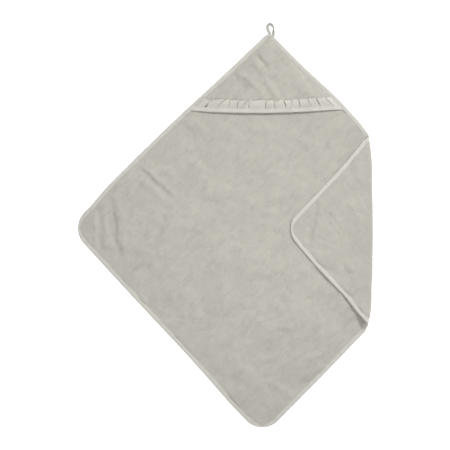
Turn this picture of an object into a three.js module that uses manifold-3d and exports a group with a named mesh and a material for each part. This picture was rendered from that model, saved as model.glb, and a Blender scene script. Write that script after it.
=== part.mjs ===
// A hooded baby towel lying on its back, with its right-hand corner turned over the front.
// Millimetres. +X is to the right, +Y towards the hood's tip and +Z up from the surface it lies on.
// Every piece of cloth is a thin closed solid at its real place. The turned corner's fold is a half roll,
// and the corner, the hood and the hanging loop are clear of their neighbours, so that each can turn.
import * as THREE from "three";
import { mergeVertices } from "three/addons/utils/BufferGeometryUtils.js";
import Module from "manifold-3d";

const wasm = await Module();
wasm.setup();

// ---- Driving dimensions ----

// The cloth is cut 800 mm square and lies a little out of square. These are the points where its
// straight sides would meet, with the radius that each sewn corner is rounded to.
const TIP = { x: 122, y: 543, radius: 14 };
const LEFT = { x: -445, y: 1, radius: 70 };
const BOTTOM = { x: 102, y: -594, radius: 60 };
const FLAP = { x: 167, y: -8, radius: 45 };

// The fold is a straight roll along Y, from its lower end to its upper end.
const FOLD = { x: 404, low: -288, high: 262, radius: 8 };

const GAP = 0.3; // left between neighbouring pieces
const TERRY = 3.2; // thickness of the terry
const RIM = { from: 1.2, low: 0.9, high: 2.5 }; // the terry squeezed inside its binding
const TAPE = { lap: 10.5, skin: 0.6, height: 3.4, spine: 0.9 }; // binding tape folded round the rim
const THREAD = { width: 0.8, height: 0.5, inset: 8.5 };

// The hood is a triangle sewn in along both sides of the tip. Its hem sags a little and stands off the towel.
const HEM = { leftY: 318, rightY: 323, sag: 9, lap: 13, stitch: 11 };
const HOOD = { puff: 8, clearance: 0.5, tipMargin: 12 };
const RUFFLE = { width: 21, seam: 4, seamHeight: 1.4, height: 2.6, flute: 0.9, pleats: 17, stitch: 2 };

// The loop is a teardrop of tape with a teardrop hole. Its sides leave the neck by `shoulder` and reach
// their full width by `flare` below the round top.
const LOOP = { x: 125.5, width: 25, top: 569.2, neck: 12, shoulder: 4, flare: 8, base: 0.2, thick: 2.6 };
const HOLE = { width: 13, low: 544.5, high: 561.7, neck: 3 };
const BAR_TACK = { width: 9, length: 1.6, y: 531.3 };

const ARC_STEPS = 9; // faces round a sewn corner
const ROLL_STEPS = 10; // faces round the fold
const HEM_STEPS = 24; // columns across the hood
const HOOD_ROWS = 4; // rows from the hem to the tip
const PLEAT_STEPS = 6; // columns in one pleat
const LOOP_STEPS = 6; // faces along each curve of the loop
const OVERSHOOT = 60; // how far an edge runs on before it is cut off at the fold
const CUTTER = 2400; // side of the box that cuts the cloth at the fold, far larger than the towel
const WELD = 1e-4; // points nearer than this are one point

// ---- Materials ----

const cloth = (color, roughness = 0.95) => new THREE.MeshStandardMaterial({ color, roughness, metalness: 0 });
const terry = cloth(0xbebbb2);
const binding = cloth(0xcbc9c0);
const frill = cloth(0xd7d4cc);
const thread = cloth(0xd2cfc6, 0.8);

// ---- Solids from points ----

// Signed volume of an indexed geometry: negative when its faces point inwards.
function signedVolume(geometry) {
  const p = geometry.attributes.position;
  const [a, b, c] = [new THREE.Vector3(), new THREE.Vector3(), new THREE.Vector3()];
  let sum = 0;
  for (let i = 0; i < geometry.index.count; i += 3) {
    a.fromBufferAttribute(p, geometry.index.getX(i));
    b.fromBufferAttribute(p, geometry.index.getX(i + 1));
    c.fromBufferAttribute(p, geometry.index.getX(i + 2));
    sum += a.dot(b.cross(c)) / 6;
  }
  return sum;
}

// A closed geometry from points and triangles, turned so that its faces point outwards.
function closed(points, triangles) {
  const geometry = new THREE.BufferGeometry().setFromPoints(points);
  geometry.setIndex(triangles.flat());
  if (signedVolume(geometry) < 0) geometry.setIndex(triangles.map(([a, b, c]) => [a, c, b]).flat());
  return geometry;
}

// Joins rings of points into a solid. A closed ring of points is one section, and cap is the
// section's flat outline, from which both ends are triangulated.
function loft(rings, firstCap, lastCap) {
  const n = rings[0].length;
  const at = (ring, i) => ring * n + (i % n);
  const triangles = [];
  for (let r = 0; r + 1 < rings.length; r++)
    for (let i = 0; i < n; i++) {
      triangles.push([at(r, i), at(r, i + 1), at(r + 1, i + 1)]);
      triangles.push([at(r, i), at(r + 1, i + 1), at(r + 1, i)]);
    }
  const last = rings.length - 1;
  for (const [a, b, c] of THREE.ShapeUtils.triangulateShape(firstCap, []))
    triangles.push([at(0, a), at(0, c), at(0, b)]);
  for (const [a, b, c] of THREE.ShapeUtils.triangulateShape(lastCap, []))
    triangles.push([at(last, a), at(last, b), at(last, c)]);
  return closed(rings.flat(), triangles);
}

const flat = (pairs) => pairs.map(([a, b]) => new THREE.Vector2(a, b));

// A profile of [across, out] pairs, counter-clockwise, swept through frames of { at, across, out }.
function sweep(frames, profile) {
  const rings = frames.map(({ at, across, out }) =>
    profile.map(([a, b]) => at.clone().addScaledVector(across, a).addScaledVector(out, b)),
  );
  return loft(rings, flat(profile), flat(profile));
}

function toSolid(geometry) {
  const bare = geometry.clone();
  bare.deleteAttribute("normal");
  bare.deleteAttribute("uv");
  const merged = mergeVertices(bare, WELD);
  const triVerts = new Uint32Array(merged.index.array);
  return new wasm.Manifold(
    new wasm.Mesh({ numProp: 3, vertProperties: merged.attributes.position.array, triVerts }),
  );
}

function toGeometry(solid) {
  const { vertProperties, triVerts } = solid.getMesh();
  const geometry = new THREE.BufferGeometry();
  geometry.setAttribute("position", new THREE.BufferAttribute(vertProperties, 3));
  return geometry.setIndex(new THREE.BufferAttribute(triVerts, 1));
}

// The part of a geometry that lies on the low side of the fold plane.
function cutAtFold(geometry) {
  const box = new THREE.BoxGeometry(CUTTER, CUTTER, CUTTER).translate(FOLD.x - GAP - CUTTER / 2, 0, 0);
  return toGeometry(toSolid(geometry).intersect(toSolid(box)));
}

// ---- Edges of the cloth ----

const UP = new THREE.Vector3(0, 0, 1);

// Frames along an edge that rounds each corner in turn. `across` points into the cloth,
// which is on the left as the edge runs.
function edgeFrames(start, corners, end) {
  const stops = [start, ...corners, end].map(({ x, y }) => new THREE.Vector2(x, y));
  const inward = (a, b) => new THREE.Vector2(a.y - b.y, b.x - a.x).normalize();
  const frame = (p, n) => ({
    at: new THREE.Vector3(p.x, p.y, 0),
    across: new THREE.Vector3(n.x, n.y, 0),
    out: UP,
  });
  const frames = [frame(stops[0], inward(stops[0], stops[1]))];
  corners.forEach(({ radius }, i) => {
    const before = inward(stops[i], stops[i + 1]);
    const after = inward(stops[i + 1], stops[i + 2]);
    const middle = before.clone().add(after);
    const centre = stops[i + 1].clone().addScaledVector(middle, (2 * radius) / middle.lengthSq());
    const turn = Math.atan2(before.cross(after), before.dot(after));
    for (let step = 0; step <= ARC_STEPS; step++) {
      const n = before.clone().rotateAround(new THREE.Vector2(), (turn * step) / ARC_STEPS);
      frames.push(frame(centre.clone().addScaledVector(n, -radius), n));
    }
  });
  frames.push(frame(stops.at(-1), inward(stops.at(-2), stops.at(-1))));
  return frames;
}

// The point where the side from `corner` reaches the fold, carried on past it by OVERSHOOT.
function pastFold(corner, y) {
  const dx = FOLD.x - corner.x;
  const reach = (dx + OVERSHOOT) / dx;
  return { x: corner.x + dx * reach, y: corner.y + (y - corner.y) * reach };
}

const towelEdge = edgeFrames(pastFold(TIP, FOLD.high), [TIP, LEFT, BOTTOM], pastFold(BOTTOM, FOLD.low));
const flapEdge = edgeFrames(pastFold(FLAP, FOLD.high), [FLAP], pastFold(FLAP, FOLD.low));

// The binding's section, a tape folded in a C round the rim.
function tapeSection(lap = TAPE.lap, stretch = 1) {
  const { skin, height, spine } = TAPE;
  const pairs = [
    [0, 0],
    [lap, 0],
    [lap, skin],
    [spine, skin],
    [spine, height - skin],
    [lap, height - skin],
    [lap, height],
    [0, height],
  ];
  return pairs.map(([a, b]) => [a * stretch, b]);
}

function threadSection(across, out) {
  const { width, height } = THREAD;
  return [
    [across, out],
    [across + width, out],
    [across + width, out + height],
    [across, out + height],
  ];
}

const upsideDown = (pairs) => pairs.map(([a, b]) => [a, -b]).reverse();

// Terry inside an edge: full thickness within the tape, and squeezed thin under it.
function terrySheet(frames, side) {
  const full = TAPE.lap + GAP;
  const steps = [
    [full, TERRY],
    [full, RIM.high],
    [RIM.from, RIM.high],
    [RIM.from, RIM.low],
    [full, RIM.low],
    [full, 0],
  ];
  const rings = steps.map(([a, b]) =>
    frames.map(({ at, across, out }) => at.clone().addScaledVector(across, a).addScaledVector(out, side * b)),
  );
  const cap = (ring) => ring.map(({ x, y }) => new THREE.Vector2(x, y));
  return loft(rings, cap(rings[0]), cap(rings.at(-1)));
}

// The towel's sides cross the fold, and each other's bisector, at 45 degrees: along that line, a width
// across the side is longer by SLANT.
const SLANT = Math.SQRT2;

// How far a rounded corner stops short of the point where its sides would meet.
const cutOff = (radius) => (SLANT - 1) * radius;

// ---- The roll of the fold ----

// Frames round the half roll, on its outer face: `out` points to the roll's axis.
function rollFrames(y, across) {
  return Array.from({ length: ROLL_STEPS + 1 }, (_, i) => {
    const angle = (Math.PI * i) / ROLL_STEPS;
    const outward = new THREE.Vector3(Math.sin(angle), 0, -Math.cos(angle));
    const axis = new THREE.Vector3(FOLD.x, y, FOLD.radius);
    return { at: axis.addScaledVector(outward, FOLD.radius), across, out: outward.negate() };
  });
}

function foldSheet() {
  const full = (TAPE.lap + GAP) * SLANT;
  const thin = RIM.from * SLANT;
  const length = FOLD.high - FOLD.low;
  const section = [
    [thin, RIM.low],
    [full, RIM.low],
    [full, 0],
    [length - full, 0],
    [length - full, RIM.low],
    [length - thin, RIM.low],
    [length - thin, RIM.high],
    [length - full, RIM.high],
    [length - full, TERRY],
    [full, TERRY],
    [full, RIM.high],
    [thin, RIM.high],
  ];
  return sweep(rollFrames(FOLD.low, new THREE.Vector3(0, 1, 0)), section);
}

const foldTape = (y, inwardY) =>
  sweep(rollFrames(y, new THREE.Vector3(0, inwardY, 0)), tapeSection(TAPE.lap, SLANT));

// ---- The hood ----

// x on the line that runs beside the edge from the tip to `stop`, inside the binding.
function hoodSide(stop, y) {
  const along = new THREE.Vector2(stop.x - TIP.x, stop.y - TIP.y).normalize();
  const inset = (TAPE.lap + 2 * GAP) / Math.abs(along.y);
  const onEdge = TIP.x + ((y - TIP.y) * along.x) / along.y;
  return onEdge - Math.sign(stop.x - TIP.x) * inset;
}

const hoodRight = (y) => hoodSide({ x: FOLD.x, y: FOLD.high }, y);
const hoodLeft = (y) => hoodSide(LEFT, y);
const HOOD_DEPTH = TIP.y - (HEM.leftY + HEM.rightY) / 2;

// A point of the hood's underside: u runs from -1 at its left side to 1 at its right, d is the distance up
// from the hem.
function hoodPoint(u, d) {
  const share = (u + 1) / 2;
  const y = THREE.MathUtils.lerp(HEM.leftY, HEM.rightY, share) + d;
  const x = THREE.MathUtils.lerp(hoodLeft(y), hoodRight(y), share);
  const fullness = (1 - u * u) * (1 - d / HOOD_DEPTH);
  const z = TERRY + HOOD.clearance + HOOD.puff * fullness;
  return new THREE.Vector3(x, y - HEM.sag * fullness, z);
}

// A piece of the hood, from its left side to its right: a section of [d, height over the underside] pairs,
// which may be a function of the column's number.
function hoodStrip(section, steps = HEM_STEPS) {
  const sectionAt = typeof section === "function" ? section : () => section;
  const rings = Array.from({ length: steps + 1 }, (_, i) =>
    sectionAt(i).map(([d, height]) => hoodPoint((2 * i) / steps - 1, d).addScaledVector(UP, height)),
  );
  return loft(rings, flat(sectionAt(0)), flat(sectionAt(steps)));
}

const TAPE_OVER_TERRY = (TAPE.height - TERRY) / 2; // how far the tape stands proud of the terry, each side

function hoodSheet() {
  const low = RIM.low - TAPE_OVER_TERRY;
  const high = RIM.high - TAPE_OVER_TERRY;
  const full = HEM.lap + GAP;
  const tipEnd = HOOD_DEPTH - (TAPE.lap + HOOD.tipMargin) * SLANT;
  const rowAt = (_, i) => THREE.MathUtils.lerp(full, tipEnd, i / HOOD_ROWS);
  const rows = Array.from({ length: HOOD_ROWS + 1 }, rowAt);
  return hoodStrip([
    [RIM.from, low],
    [full, low],
    ...rows.map((d) => [d, 0]),
    ...rows.map((d) => [d, TERRY]).reverse(),
    [full, high],
    [RIM.from, high],
  ]);
}

const hemTape = () => hoodStrip(tapeSection(HEM.lap).map(([d, height]) => [d, height - TAPE_OVER_TERRY]));

// The frill: flat along its seam, and fluted from there to its free edge.
function ruffle() {
  const { seam, seamHeight, width, height, flute } = RUFFLE;
  const start = HEM.lap + 2 * GAP;
  const base = TERRY + GAP;
  const section = (i) => {
    const wave = (flute * (1 - Math.cos((2 * Math.PI * i) / PLEAT_STEPS))) / 2;
    return [
      [start, base],
      [start + seam, base],
      [start + width, base + wave],
      [start + width, base + wave + height],
      [start + seam, base + seamHeight],
      [start, base + seamHeight],
    ];
  };
  return hoodStrip(section, RUFFLE.pleats * PLEAT_STEPS);
}

// ---- The hanging loop ----

function teardrop(width, low, high, neck) {
  const shape = new THREE.Shape();
  const [side, root] = [width / 2, neck / 2];
  const round = high - side;
  const { shoulder, flare } = LOOP;
  shape.moveTo(-root, low);
  shape.lineTo(root, low);
  shape.bezierCurveTo(root, low + shoulder, side, round - flare, side, round);
  shape.absarc(0, round, side, 0, Math.PI, false);
  shape.bezierCurveTo(-side, round - flare, -root, low + shoulder, -root, low);
  return shape;
}

function hangingLoop() {
  const root = TIP.y - cutOff(TIP.radius) + 2 * GAP;
  const shape = teardrop(LOOP.width, root, LOOP.top, LOOP.neck);
  shape.holes.push(teardrop(HOLE.width, HOLE.low, HOLE.high, HOLE.neck));
  const options = { depth: LOOP.thick, bevelEnabled: false, curveSegments: LOOP_STEPS };
  return new THREE.ExtrudeGeometry(shape, options).translate(LOOP.x, 0, LOOP.base);
}

function barTack() {
  const bar = new THREE.BoxGeometry(BAR_TACK.width, BAR_TACK.length, THREAD.height);
  return bar.translate(TIP.x, BAR_TACK.y, TAPE.height + GAP + THREAD.height / 2);
}

// ---- The assembly ----

const towel = new THREE.Group();

function add(parent, name, geometry, material) {
  const mesh = new THREE.Mesh(geometry, material);
  mesh.name = name;
  parent.add(mesh);
}

// The edge is one tape; the hood's tip is where this model's two lengths of it part, under the loop.
const tipFrame = 1 + Math.floor(ARC_STEPS / 2);
const rightEdge = towelEdge.slice(0, tipFrame + 1);
const leftEdge = towelEdge.slice(tipFrame + 1);
const stitchLine = threadSection(THREAD.inset, TAPE.height + GAP);

add(towel, "towel_panel", cutAtFold(terrySheet(towelEdge, 1)), terry);
add(towel, "edge_binding_right", cutAtFold(sweep(rightEdge, tapeSection())), binding);
add(towel, "edge_binding_left", cutAtFold(sweep(leftEdge, tapeSection())), binding);
add(towel, "edge_stitching_right", cutAtFold(sweep(rightEdge, stitchLine)), thread);
add(towel, "edge_stitching_left", cutAtFold(sweep(leftEdge, stitchLine)), thread);

add(towel, "corner_fold", foldSheet(), terry);
add(towel, "fold_binding_upper", foldTape(FOLD.high, -1), binding);
add(towel, "fold_binding_lower", foldTape(FOLD.low, 1), binding);

// The corner slopes from the top of the roll down to the towel, with the towel's back uppermost.
const rollTop = 2 * FOLD.radius;
const flapDrop = rollTop - (TAPE.height + GAP + TAPE.height);
const flapReach = FOLD.x - FLAP.x - cutOff(FLAP.radius);
const flap = new THREE.Group();
flap.position.set(FOLD.x, 0, rollTop);
flap.rotation.y = -Math.atan2(flapDrop, flapReach);
towel.add(flap);
const inFlap = (geometry) => cutAtFold(geometry).translate(-FOLD.x, 0, 0);
add(flap, "corner_flap", inFlap(terrySheet(flapEdge, -1)), terry);
add(flap, "flap_binding", inFlap(sweep(flapEdge, upsideDown(tapeSection()))), binding);
add(flap, "flap_stitching", inFlap(sweep(flapEdge, threadSection(THREAD.inset, GAP))), thread);

add(towel, "hood_panel", hoodSheet(), terry);
add(towel, "hood_hem_binding", hemTape(), frill);
add(towel, "hood_ruffle", ruffle(), frill);
const hemTop = TERRY + TAPE_OVER_TERRY + GAP;
add(towel, "hem_stitching", hoodStrip(threadSection(HEM.stitch, hemTop)), thread);
const gatherAt = HEM.lap + 2 * GAP + RUFFLE.stitch;
const gatherTop = TERRY + RUFFLE.seamHeight + 2 * GAP;
add(towel, "ruffle_gathering_thread", hoodStrip(threadSection(gatherAt, gatherTop)), thread);

add(towel, "hanging_loop", hangingLoop(), frill);
add(towel, "loop_bar_tack", barTack(), thread);

// The frame's origin is under the middle of the whole object, on the surface that it lies on.
towel.updateMatrixWorld(true);
const middle = new THREE.Box3().setFromObject(towel, true).getCenter(new THREE.Vector3());
towel.position.set(-middle.x, -middle.y, 0);

export default towel;
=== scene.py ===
"""A hooded baby towel lying on its back with its right corner turned over, seen from straight above.

The cloth is worked out flat first: `X, Y` are places on the towel as if it lay open, in metres, and
`lay` takes them round the fold to where they really are. Every piece of cloth is a closed shell
between a front and a back surface, and its UV map is its place on the flat cloth.
"""

import math

import bmesh
import bpy
import numpy as np
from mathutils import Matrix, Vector


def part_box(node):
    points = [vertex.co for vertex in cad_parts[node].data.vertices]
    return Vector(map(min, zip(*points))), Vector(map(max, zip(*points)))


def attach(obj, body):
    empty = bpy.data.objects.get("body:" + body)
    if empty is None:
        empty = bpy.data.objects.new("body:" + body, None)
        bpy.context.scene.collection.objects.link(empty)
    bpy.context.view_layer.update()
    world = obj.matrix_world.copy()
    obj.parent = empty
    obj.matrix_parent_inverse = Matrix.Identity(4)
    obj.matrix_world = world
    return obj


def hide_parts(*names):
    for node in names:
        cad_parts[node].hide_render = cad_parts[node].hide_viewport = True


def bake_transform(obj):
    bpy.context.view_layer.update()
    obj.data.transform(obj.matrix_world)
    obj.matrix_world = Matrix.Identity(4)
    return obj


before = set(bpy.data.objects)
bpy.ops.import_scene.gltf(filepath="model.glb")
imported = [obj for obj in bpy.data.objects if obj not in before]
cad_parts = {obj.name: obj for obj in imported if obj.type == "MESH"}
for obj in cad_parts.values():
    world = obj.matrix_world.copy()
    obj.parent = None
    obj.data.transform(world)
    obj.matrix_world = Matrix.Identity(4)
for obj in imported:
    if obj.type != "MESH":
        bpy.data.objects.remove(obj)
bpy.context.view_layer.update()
MM = 0.001
rng = np.random.default_rng(7)


def node_box(name):
    low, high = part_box(name)
    return np.array(low), np.array(high)


# ---- Places, from the frame ----

fold_low, fold_high = node_box("corner_fold")
hem_low = node_box("hood_hem_binding")[0]

TERRY = node_box("towel_panel")[1][2]  # thickness of the terry
FOLD_X = fold_low[0]  # where the towel starts to roll over
FOLD_R = (fold_high[2] - fold_low[2]) / 2  # the roll's outer radius
MID_R = FOLD_R - TERRY / 2  # radius of the middle of the cloth in the roll
QUARTER = MID_R * math.pi / 2  # flat length of a quarter of the roll
EQUATOR = FOLD_X + QUARTER  # flat X of the outermost line of the roll
FLAP_X = FOLD_X + 2 * QUARTER  # flat X where the turned corner starts

# The points where the towel's straight sides would meet, on the flat cloth. The part of the cloth
# that is turned over lies a little askew, so it has sides of its own from the fold on.
TIP = np.array([0.12445, 0.54183])
LEFT = np.array([-0.44255, -0.00017])
BOTTOM = np.array([0.10445, -0.59517])
RIGHT = np.array([0.68015, -0.01187])
CORNER = np.array([0.66355, -0.00917])
EDGE_HIGH = 0.25083  # Y where the edge crosses the roll's outermost line, above
EDGE_LOW = -0.28217  # and below
ROUND = {"tip": 0.014, "left": 0.066, "bottom": 0.060, "corner": 0.044}

TAPE = 10.5 * MM  # width of the edge binding on each face
RIM = 1.6 * MM  # thickness of the terry squeezed in its binding


# ---- Small curves ----


def smooth(t):
    t = np.clip(t, 0, 1)
    return t * t * (3 - 2 * t)


def step(t, start, over):
    """0 up to start, and 1 from start + over on."""
    return smooth((t - start) / over)


def bump(t, centre, width):
    return np.exp(-(((t - centre) / width) ** 2))


class Ripples:
    """A smooth field of seeded waves: its values average 0 and mostly lie within -1 and 1."""

    def __init__(self, wavelength, count=40, spread=0.45, stretch=1.0, angle=0.0):
        directions = rng.uniform(0, 2 * math.pi, count)
        lengths = wavelength * np.exp(rng.normal(0, spread, count))
        wave = np.stack([np.cos(directions), np.sin(directions) / stretch], 1)
        turn = np.array([[math.cos(angle), math.sin(angle)], [-math.sin(angle), math.cos(angle)]])
        self.waves = (wave @ turn) * (2 * math.pi / lengths)[:, None]
        self.phases = rng.uniform(0, 2 * math.pi, count)
        self.scale = math.sqrt(2 / count)

    def __call__(self, x, y):
        total = np.zeros_like(x)
        for wave, phase in zip(self.waves, self.phases):
            total += np.sin(x * wave[0] + y * wave[1] + phase)
        return total * self.scale * 0.7


# ---- The flat cloth ----


def round_corners(p, q, radii):
    """Pulls the corners (0,0), (1,0), (1,1) and (0,1) of the unit square in to quarter circles."""
    p, q = p.copy(), q.copy()
    for (cp, cq), radius in zip(((0, 0), (1, 0), (1, 1), (0, 1)), radii):
        a = 1 - (p if cp == 0 else 1 - p) / radius
        b = 1 - (q if cq == 0 else 1 - q) / radius
        inside = (a > 0) & (b > 0)
        na = a * np.sqrt(np.maximum(1 - b * b / 2, 0))
        nb = b * np.sqrt(np.maximum(1 - a * a / 2, 0))
        new_p = (1 - na) * radius
        new_q = (1 - nb) * radius
        p = np.where(inside, new_p if cp == 0 else 1 - new_p, p)
        q = np.where(inside, new_q if cq == 0 else 1 - new_q, q)
    return p, q


class Cloth:
    """Flat cloth on a four-cornered piece: p runs from corner 0 to 1, and q from corner 0 to 3.

    bows are functions of p or q that give how far each side lies outside its straight line.
    """

    def __init__(self, corners, radii, bows):
        self.corners = [np.array(c) for c in corners]
        self.radii = radii
        self.bows = bows
        self.side_p = np.linalg.norm(self.corners[1] - self.corners[0])
        self.side_q = np.linalg.norm(self.corners[3] - self.corners[0])
        self.side = (self.side_p + self.side_q) / 2

    def place(self, p, q):
        p, q = np.asarray(p, float), np.asarray(q, float)
        p, q = round_corners(p, q, [max(r / self.side, 1e-6) for r in self.radii])
        c0, c1, c2, c3 = self.corners
        flat = (
            np.multiply.outer((1 - p) * (1 - q), c0)
            + np.multiply.outer(p * (1 - q), c1)
            + np.multiply.outer(p * q, c2)
            + np.multiply.outer((1 - p) * q, c3)
        )
        out_p = (c0 - c1) / np.linalg.norm(c0 - c1)  # out of the side p = 0
        out_q = (c0 - c3) / np.linalg.norm(c0 - c3)  # out of the side q = 0
        along_p = self.bows["p0"](q) * (1 - p) ** 2 - self.bows["p1"](q) * p**2
        along_q = self.bows["q0"](p) * (1 - q) ** 2 - self.bows["q1"](p) * q**2
        return flat + np.multiply.outer(along_p, out_p) + np.multiply.outer(along_q, out_q)

    def edge_distance(self, p, q):
        return np.minimum(np.minimum(p, 1 - p) * self.side_p, np.minimum(q, 1 - q) * self.side_q)

    def edge(self, s, inset):
        """Places at an inset from the edge. s counts sides, from corner 0 to 1, 1 to 2, and so on."""
        side = np.floor(s).astype(int) % 4
        i = np.asarray(inset) / self.side + 0 * s
        f = i + (s - np.floor(s)) * (1 - 2 * i)
        p = np.choose(side, [f, 1 - i, 1 - f, i])
        q = np.choose(side, [i, f, 1 - i, 1 - f])
        return self.place(p, q)


def bow(*bumps, rise=0.0):
    """How far a side lies outside its straight line: a rise all along it, and bumps of a height, in
    millimetres, a centre and a width, as shares of the side."""

    def outside(share):
        total = rise + 0 * share
        for height, centre, width in bumps:
            total = total + height * bump(share, centre, width)
        return MM * total

    return outside


towel = Cloth(
    [TIP, LEFT, BOTTOM, RIGHT],
    [ROUND["tip"], ROUND["left"], ROUND["bottom"], 0],
    {
        "q0": bow((4.4, 0.51, 0.25), (0.6, 0.07, 0.08), (-7.5, 0.91, 0.07), rise=0.3),
        "p0": bow((3.4, 0.33, 0.09), (-1, 0.12, 0.1)),
        "p1": bow((1.2, 0.24, 0.17), (2.5, 0.84, 0.09), (-1, 0.6, 0.1)),
        "q1": bow((-1.6, 0.54, 0.07)),
    },
)

BEYOND = 1.6  # the turned corner's sides run on past the roll's outermost line, to be cut off there


def turned_corner():
    """The cloth beyond the roll's outermost line: its sides meet that line where the towel's do."""
    high = CORNER + BEYOND * (np.array([EQUATOR, EDGE_HIGH]) - CORNER)
    low = CORNER + BEYOND * (np.array([EQUATOR, EDGE_LOW]) - CORNER)
    high_shape = bow((3.6, 0.84, 0.16), rise=2.1)
    low_shape = bow((6.6, 0.38, 0.33), (5.8, 0.84, 0.115))

    def high_bow(p):
        share = p * BEYOND
        return high_shape(share) * step(share, 0, 0.1) * step(1 - share, 0, 0.07)

    def low_bow(q):
        share = q * BEYOND
        return low_shape(share) * step(1 - share, 0, 0.07)

    bows = {"q0": high_bow, "p0": low_bow, "p1": bow(), "q1": bow()}
    return Cloth([CORNER, high, high + low - CORNER, low], [ROUND["corner"], 0, 0, 0], bows)


corner = turned_corner()

# ---- Round the fold ----

FLAP_REST = 6.6 * MM  # height of the middle of the turned corner's cloth at its far end
FLAP_DROP = 2 * FOLD_R - TERRY / 2 - FLAP_REST
FLAP_REACH = CORNER[0] - FLAP_X
RIM_LIFT = 0.45 * MM  # the bound edge is thicker than the terry, so its middle lies higher


def recess(y):
    """How far the fold draws back towards the towel at its two ends."""
    high = 1.1 * step(y, 0.06, 0.05) + 7.2 * (np.maximum(y - 0.16, 0) / 0.08) ** 1.7
    low = 2.4 * step(-y, 0.14, 0.04) + 10.5 * (np.maximum(-0.18 - y, 0) / 0.1) ** 3
    high = np.minimum(high, 8.5) * (1 - step(y, 0.25, 0.06))
    low = np.minimum(low, 13) * (1 - step(-y, 0.278, 0.027))
    return MM * (high + low - 1.2 * bump(y, -0.01, 0.09))


def settle(points):
    """Draws the fold's ends in, and makes the roll fuller at its lower end and tighter at its upper one."""
    x, y, z = points[..., 0], points[..., 1], points[..., 2]
    near = step(x, FOLD_X - 0.054, 0.062)
    low_end = 0.12 * step(-y, 0.12, 0.12) + 0.62 * step(-y, 0.225, 0.045)
    fuller = 1 + near * (low_end - 0.2 * step(y, 0.12, 0.12))
    above = np.maximum(z - TERRY, 0)
    return np.stack([x - recess(y) * near, y, np.minimum(z, TERRY) + above * fuller], -1)


def flap_drop(past, y):
    """How far the turned corner has come down from the roll. It does so sooner along its lower side."""
    sag = 1 + 1.8 * step(-y, -0.02, 0.14)
    return FLAP_DROP * (1 - np.clip(1 - past / FLAP_REACH, 0, 1) ** sag)


def lay(flat, off):
    """Takes flat cloth to its place. `off` is the height over the middle of the cloth, towards its front."""
    x, y = flat[..., 0], flat[..., 1]
    angle = np.clip((x - FOLD_X) / MID_R, 0, math.pi)
    radius = MID_R - off
    on_roll = np.stack([FOLD_X + radius * np.sin(angle), y, FOLD_R - radius * np.cos(angle)], -1)
    before = np.stack([x, y, TERRY / 2 + off], -1)
    past = x - FLAP_X
    after = np.stack([FOLD_X - past, y, 2 * FOLD_R - TERRY / 2 - off - flap_drop(past, y)], -1)
    placed = np.where((x < FOLD_X)[..., None], before, on_roll)
    placed = np.where((x > FLAP_X)[..., None], after, placed)
    return settle(placed)


def roll_share(flat, keep_below):
    """How far round its own quarter of the roll flat cloth is: the towel's below, the corner's above."""
    return step(flat[..., 0], FOLD_X if keep_below else EQUATOR, QUARTER)


# ---- Creases ----

# Each crease: where it starts and ends, its width and its height (below 0 for a groove), in millimetres.
TOWEL_CREASES = [
    ((-240, 156), (-148, 74), 6, -4.2),
    ((-228, 160), (-146, 88), 8, 3.4),
    ((-242, 136), (-172, 70), 9, 2.0),
    ((-18, 80), (118, 196), 9, -3.2),
    ((-6, 66), (126, 178), 10, 2.6),
    ((-354, 46), (-350, -66), 8, -3.8),
    ((-366, 36), (-363, -56), 8, 2.4),
    ((-326, 80), (-302, -92), 10, -5.4),
    ((-304, 70), (-284, -84), 13, 4.6),
    ((-340, 36), (-337, -66), 8, 2.0),
    ((262, -396), (276, -412), 13, 2.4),
    ((-155, -195), (-100, -155), 8, -2.6),
    ((-66, -304), (-12, -258), 8, -2.6),
    ((184, -334), (238, -298), 8, 2.8),
    ((-90, 300), (-30, 240), 12, 2.2),
    ((60, -120), (110, -60), 12, 2.0),
    ((-200, -60), (-150, -20), 10, 2.0),
]
CORNER_CREASES = [
    ((256, 62), (232, -64), 8, -5.0),
    ((268, 56), (246, -58), 10, 3.6),
    ((290, 32), (322, -28), 8, -4.0),
    ((300, 38), (332, -20), 9, 3.0),
    ((330, -110), (352, -160), 9, -2.6),
    ((350, 60), (372, 20), 10, 2.0),
]
HOOD_CREASES = [
    ((84, 480), (120, 436), 7, -2.4),
    ((72, 474), (108, 430), 8, 2.0),
    ((96, 490), (130, 446), 8, 1.8),
    ((24, 434), (108, 378), 10, 3.2),
    ((22, 418), (92, 374), 9, -1.6),
    ((142, 492), (178, 456), 18, -3.0),
    ((60, 424), (28, 356), 13, -2.6),
    ((196, 426), (232, 370), 15, 2.6),
    ((224, 420), (262, 372), 14, -2.2),
    ((114, 412), (150, 350), 9, 2.2),
    ((128, 412), (164, 352), 9, -1.6),
    ((96, 400), (132, 352), 9, -1.4),
]


# Waves of the spread cloth, and their heights in millimetres.
UNEVEN = [(Ripples(0.17), 0.55), (Ripples(0.06), 0.35), (Ripples(0.03, stretch=3.0, angle=0.9), 0.14)]
sway, sway_back = Ripples(0.05, 24), Ripples(0.05, 24)
SWAY = 2.2 * MM  # how far creases bend to their sides


def crease_height(creases, x, y):
    """Soft creases that bend a little on their way, and narrow and fade towards their ends."""
    total = np.zeros_like(x)
    x, y = x + SWAY * sway(x, y), y + SWAY * sway_back(x, y)
    for start, end, width, height in creases:
        a, b = np.array(start) * MM, np.array(end) * MM
        length = np.linalg.norm(b - a)
        direction = (b - a) / length
        along = (x - a[0]) * direction[0] + (y - a[1]) * direction[1]
        aside = (x - a[0]) * -direction[1] + (y - a[1]) * direction[0]
        past_middle = np.abs(along - length / 2) / (length / 2 + width * MM)
        taper = np.maximum(1 - past_middle**2, 0)
        total += height * MM * taper * np.exp(-((aside / (width * MM * (0.6 + 0.5 * taper))) ** 2))
    return total


CREASE_ANGLE = 0.75  # most of the small creases run up to the right


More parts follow.
